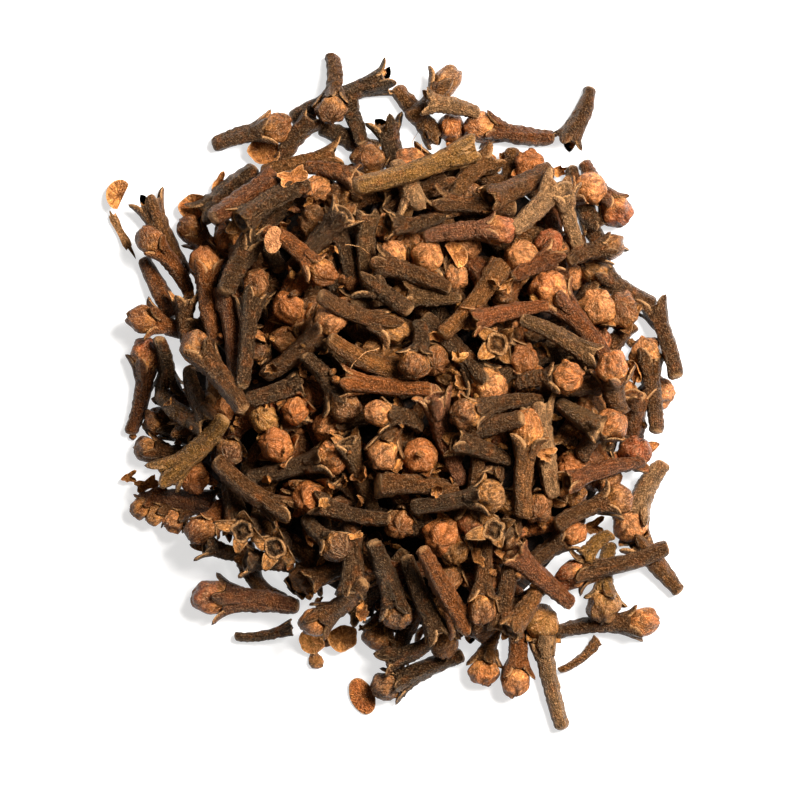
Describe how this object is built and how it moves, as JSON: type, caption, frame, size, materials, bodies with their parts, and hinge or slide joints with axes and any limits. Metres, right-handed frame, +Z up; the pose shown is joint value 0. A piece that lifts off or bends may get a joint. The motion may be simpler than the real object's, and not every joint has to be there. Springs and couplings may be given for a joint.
{
  "type": "heap of whole cloves",
  "caption": "Low loose heap of dried whole cloves: slim stems with four-lobed calyxes, most with a round bud, some open or broken, an uneven rim of strays.",
  "frame": {"origin": "middle of the heap's footprint on the surface it lies on", "axes": "+Z up, +Y along the heap's longer way in plan, +X to the right when seen from above with +Y away"},
  "size_m": [0.0868, 0.1043, 0.0223],
  "materials": {
    "clove": "dry, wrinkled, dull brown with lighter buds"
  },
  "bodies": {
    "root": {"clove_heap": "clove"}
  },
  "joints": []
}
